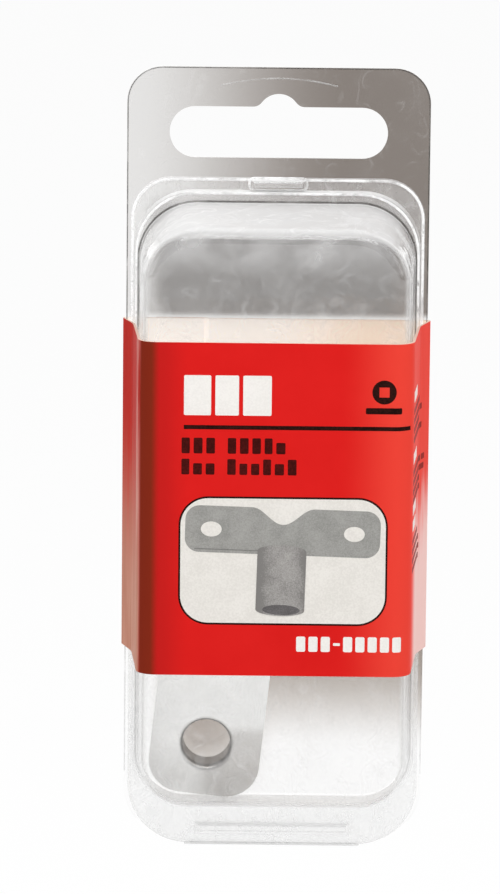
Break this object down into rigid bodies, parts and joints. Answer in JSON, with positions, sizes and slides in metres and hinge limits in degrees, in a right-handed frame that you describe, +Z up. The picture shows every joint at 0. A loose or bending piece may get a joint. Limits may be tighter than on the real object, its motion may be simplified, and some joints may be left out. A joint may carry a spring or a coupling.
{
  "type": "radiator bleed key",
  "caption": "Stamped steel T-handled square-socket key, sealed in a clear hinged clamshell with a hang slot and a printed card sleeve.",
  "frame": {"origin": "under the crown of the hang slot, where a display hook bears, on the parting plane of the two sheets", "axes": "+Z up along the pack, +X to the right seen from the front, +Y to the back"},
  "size_m": [0.045, 0.0207, 0.1168],
  "materials": {
    "clear_sheet": "clear thermoformed sheet",
    "printed_card": "gloss print outside, bare white inside",
    "glue": "hot melt film",
    "zinc_steel": "bright zinc plate",
    "bush_steel": "zinc plate, duller"
  },
  "bodies": {
    "back": {"back_shell": "clear_sheet", "living_hinge": "clear_sheet"},
    "front": {"front_shell": "clear_sheet"},
    "key": {"key_front_stamping": "zinc_steel", "key_back_stamping": "zinc_steel", "key_socket": "bush_steel"},
    "sleeve_front": {"card_front_panel": "printed_card", "card_left_side": "printed_card", "card_right_side": "printed_card"},
    "sleeve_back": {"card_back_left_flap": "printed_card", "card_back_right_flap": "printed_card", "card_glue_strip": "glue"}
  },
  "joints": [
    {"name": "clamshell_hinge", "type": "hinge", "parent": "back", "child": "front", "pos_m": [0, 0, -0.1125], "axis": [1, 0, 0], "range_deg": [0, 180], "deforming": ["living_hinge"]},
    {"name": "key_slide", "type": "slide", "parent": "front", "child": "key", "axis": [0, 0, 1], "range_m": [0, 0.018]},
    {"name": "sleeve_slide", "type": "slide", "parent": "front", "child": "sleeve_front", "axis": [0, 0, 1], "range_m": [0, 0.088]},
    {"name": "sleeve_back_slide", "type": "slide", "parent": "back", "child": "sleeve_back", "axis": [0, 0, 1], "range_m": [0, 0.088]}
  ],
  "couplings": [
    {"joint": "sleeve_back_slide", "follows": "sleeve_slide", "ratio": 1}
  ]
}
